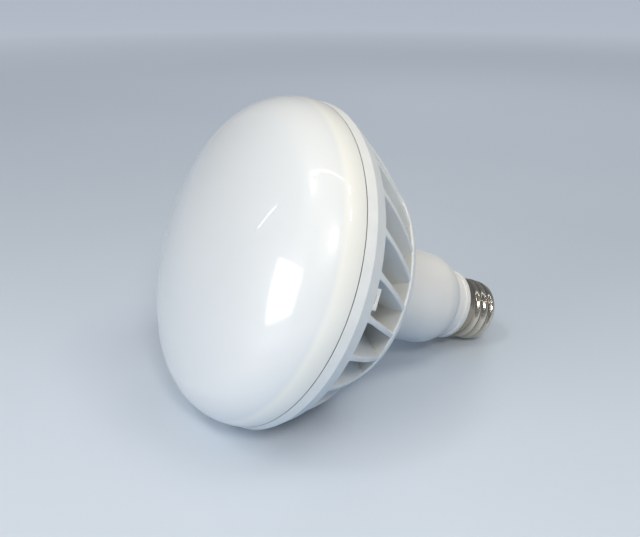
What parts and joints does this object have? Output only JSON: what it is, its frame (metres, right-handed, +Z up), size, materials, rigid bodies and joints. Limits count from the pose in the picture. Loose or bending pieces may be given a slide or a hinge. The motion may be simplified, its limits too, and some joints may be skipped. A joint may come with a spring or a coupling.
{
  "type": "led reflector lamp",
  "caption": "Reflector lamp with a milky domed diffuser, a white ring with slanted cooling fins, a plain neck and a large nickel screw cap; replaces a mercury lamp.",
  "frame": {"origin": "middle of the lamp's box on the floor, with the lamp lying on its ring and its cap as it comes to rest", "axes": "+Z up; the domed front faces -Y and rises, the screw cap points to +Y and down; X runs across the lamp"},
  "size_m": [0.18, 0.22, 0.1689],
  "materials": {
    "opal_plastic": "glossy opal",
    "white_paint": "satin white coat",
    "white_plastic": "satin",
    "nickel_plate": "nickel plated",
    "dark_insulator": "satin",
    "tinned_brass": "tinned",
    "bare_aluminium": "satin",
    "board_white": "white mask",
    "diode_yellow": "satin",
    "connector_white": "satin",
    "screw_steel": "zinc",
    "board_green": "satin",
    "coil_tape": "satin tape",
    "ferrite": "dull",
    "sleeve_dark": "gloss",
    "case_red": "gloss",
    "coil_sleeve": "dull",
    "chip_black": "dull",
    "resistor_body": "dull",
    "lead_red": "satin",
    "lead_black": "satin"
  },
  "bodies": {
    "root": {"diffuser": "opal_plastic", "heat_sink": "white_paint", "driver_housing": "white_plastic", "screw_shell": "nickel_plate", "base_insulator": "dark_insulator", "centre_contact": "tinned_brass", "carrier_plate": "bare_aluminium", "light_board": "board_white", "diodes": "diode_yellow", "wire_connector": "connector_white", "plate_screws": "screw_steel", "light_board_screws": "screw_steel", "housing_screws": "screw_steel", "driver_board": "board_green", "transformer_coil": "coil_tape", "transformer_core": "ferrite", "input_capacitor": "sleeve_dark", "output_capacitor": "sleeve_dark", "film_capacitor": "case_red", "filter_coil": "coil_sleeve", "bridge_rectifier": "chip_black", "driver_chip": "chip_black", "fuse_resistor": "resistor_body", "diode_lead_plus": "lead_red", "diode_lead_minus": "lead_black", "live_lead": "lead_red", "shell_lead": "lead_black"}
  },
  "joints": []
}
